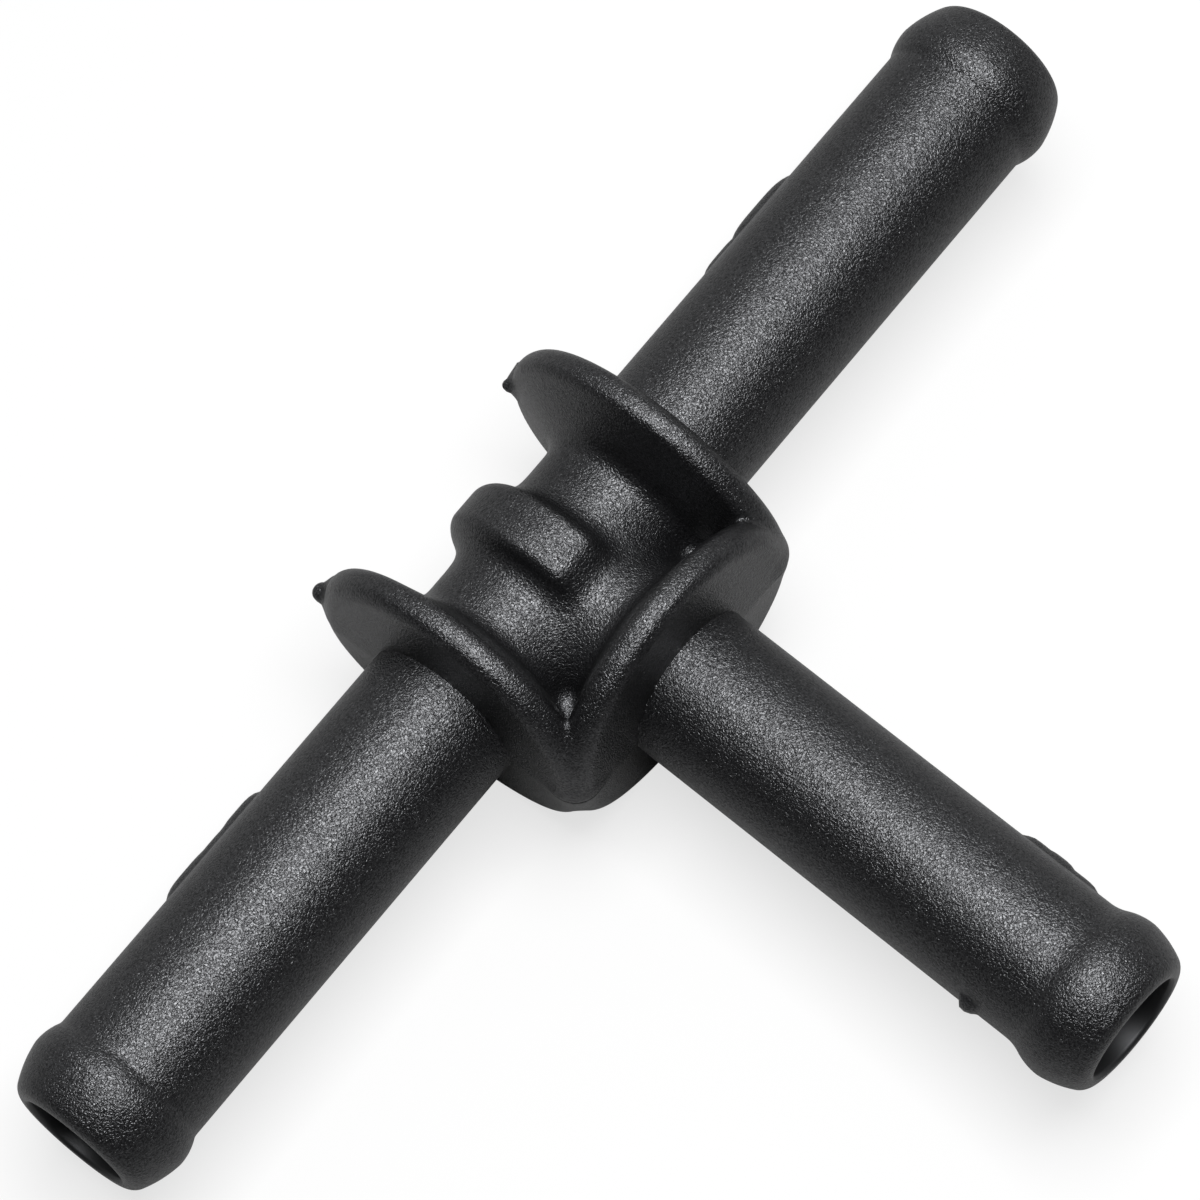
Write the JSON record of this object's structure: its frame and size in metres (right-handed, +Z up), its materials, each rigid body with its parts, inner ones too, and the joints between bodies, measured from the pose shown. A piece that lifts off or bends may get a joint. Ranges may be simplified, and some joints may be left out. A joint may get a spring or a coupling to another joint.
{
  "type": "hose tee connector",
  "caption": "Moulded black plastic tee for joining three 12 mm hoses, with a beaded spigot on each arm and round hose-stop collars around the hub.",
  "frame": {"origin": "where the three bore axes cross, in the middle of the hub", "axes": "+X along the straight run, towards the right-hand spigot; the branch spigot points to -Y; +Z is up, square to the plane that the arms lie in, which is also the plane where the mould parts"},
  "size_m": [0.104, 0.0652, 0.024],
  "materials": {
    "black_nylon": "fine spark-eroded texture, low sheen"
  },
  "bodies": {
    "root": {"tee_body": "black_nylon"}
  },
  "joints": []
}
